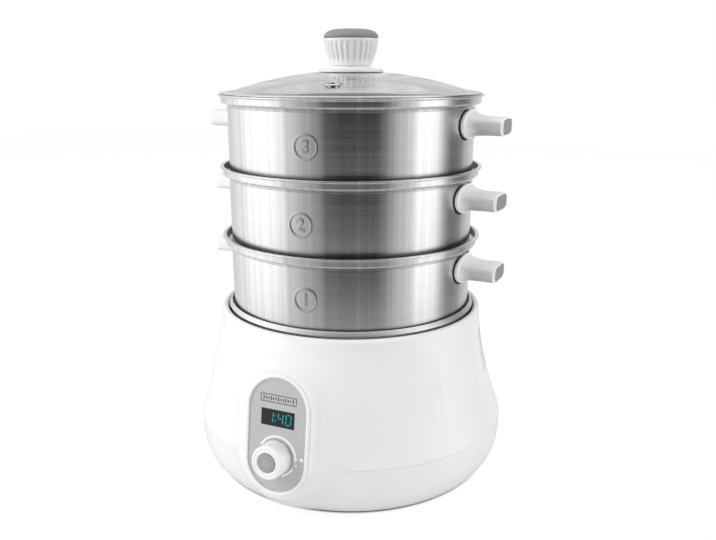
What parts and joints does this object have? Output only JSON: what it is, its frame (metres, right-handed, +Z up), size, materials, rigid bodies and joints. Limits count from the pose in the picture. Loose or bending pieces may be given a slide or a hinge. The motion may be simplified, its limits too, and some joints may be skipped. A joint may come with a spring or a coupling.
{
  "type": "electric food steamer",
  "caption": "Electric food steamer: white base with timer panel and water bowl, stacked steel steaming baskets with side handles, and a domed glass lid.",
  "frame": {"origin": "on the pot's axis at the level of the rubber feet, 2.1 mm below the flat pad in the middle of the base's underside", "axes": "+Z up along the pot's axis, control panel towards -Y, water level window towards +X, handles along X"},
  "size_m": [0.2828, 0.309, 0.3886],
  "materials": {
    "white_plastic": "glossy moulded plastic",
    "white_knob": "satin moulded plastic",
    "dark_rubber": "matte",
    "screw_steel": "plain plated",
    "bowl_steel": "satin",
    "plate_aluminium": "as cast",
    "heater_tube": "oxidised sheath",
    "ceramic": "matte",
    "clear_window": "clear moulded",
    "grey_faceplate": "satin silver",
    "display_black": "tinted lens",
    "circuit_green": "solder mask",
    "red_wire": "sleeve",
    "grey_cable": "ribbon",
    "grey_plastic": "fine grain",
    "grey_button": "satin",
    "grey_cap": "fine grain",
    "lid_glass": "clear tempered",
    "polished_steel": "polished",
    "brushed_steel": "vertically brushed"
  },
  "bodies": {
    "base": {"upper_housing": "white_plastic", "lower_housing": "white_plastic", "rubber_feet": "dark_rubber", "housing_screws": "screw_steel", "water_bowl": "bowl_steel", "bowl_gasket": "dark_rubber", "heating_plate": "plate_aluminium", "heating_element": "heater_tube", "thermostat": "ceramic", "thermal_fuse": "screw_steel", "level_window": "clear_window", "level_seals": "dark_rubber", "panel_bezel": "white_plastic", "control_faceplate": "grey_faceplate", "display_window": "display_black", "display_module": "display_black", "control_board": "circuit_green", "encoder_body": "screw_steel", "tact_switch": "display_black", "board_screws": "screw_steel", "power_board": "circuit_green", "heater_leads": "red_wire", "board_cable": "grey_cable", "cable_gland": "grey_plastic"},
    "dial": {"timer_knob": "white_knob"},
    "button": {"power_button": "grey_button"},
    "lower_tier": {"lower_basket": "brushed_steel", "lower_handles": "white_plastic", "lower_handle_caps": "grey_cap", "lower_handle_gaskets": "dark_rubber", "lower_handle_screws": "screw_steel"},
    "middle_tier": {"middle_basket": "brushed_steel", "middle_handles": "white_plastic", "middle_handle_caps": "grey_cap", "middle_handle_gaskets": "dark_rubber", "middle_handle_screws": "screw_steel"},
    "upper_tier": {"upper_basket": "brushed_steel", "upper_handles": "white_plastic", "upper_handle_caps": "grey_cap", "upper_handle_gaskets": "dark_rubber", "upper_handle_screws": "screw_steel"},
    "lid": {"lid_glass": "lid_glass", "lid_rim": "polished_steel", "vent_eyelet": "polished_steel", "knob_seal": "dark_rubber", "knob_flange": "white_plastic", "lid_knob": "white_plastic", "knob_cap": "grey_cap", "knob_washer": "polished_steel", "knob_screw": "screw_steel"}
  },
  "joints": [
    {"name": "dial_turn", "type": "hinge", "parent": "base", "child": "dial", "pos_m": [0, -0.14775, 0.05538], "axis": [0, -0.9903, 0.1392], "continuous": true},
    {"name": "button_press", "type": "slide", "parent": "base", "child": "button", "axis": [0, 0.9903, -0.1392], "range_m": [0, 0.001], "stiffness_N_per_m": 400},
    {"name": "lower_lift", "type": "slide", "parent": "base", "child": "lower_tier", "axis": [0, 0, 1], "range_m": [0, 0.08]},
    {"name": "middle_lift", "type": "slide", "parent": "lower_tier", "child": "middle_tier", "axis": [0, 0, 1], "range_m": [0, 0.08]},
    {"name": "upper_lift", "type": "slide", "parent": "middle_tier", "child": "upper_tier", "axis": [0, 0, 1], "range_m": [0, 0.08]},
    {"name": "lid_lift", "type": "slide", "parent": "upper_tier", "child": "lid", "axis": [0, 0, 1], "range_m": [0, 0.1]}
  ]
}
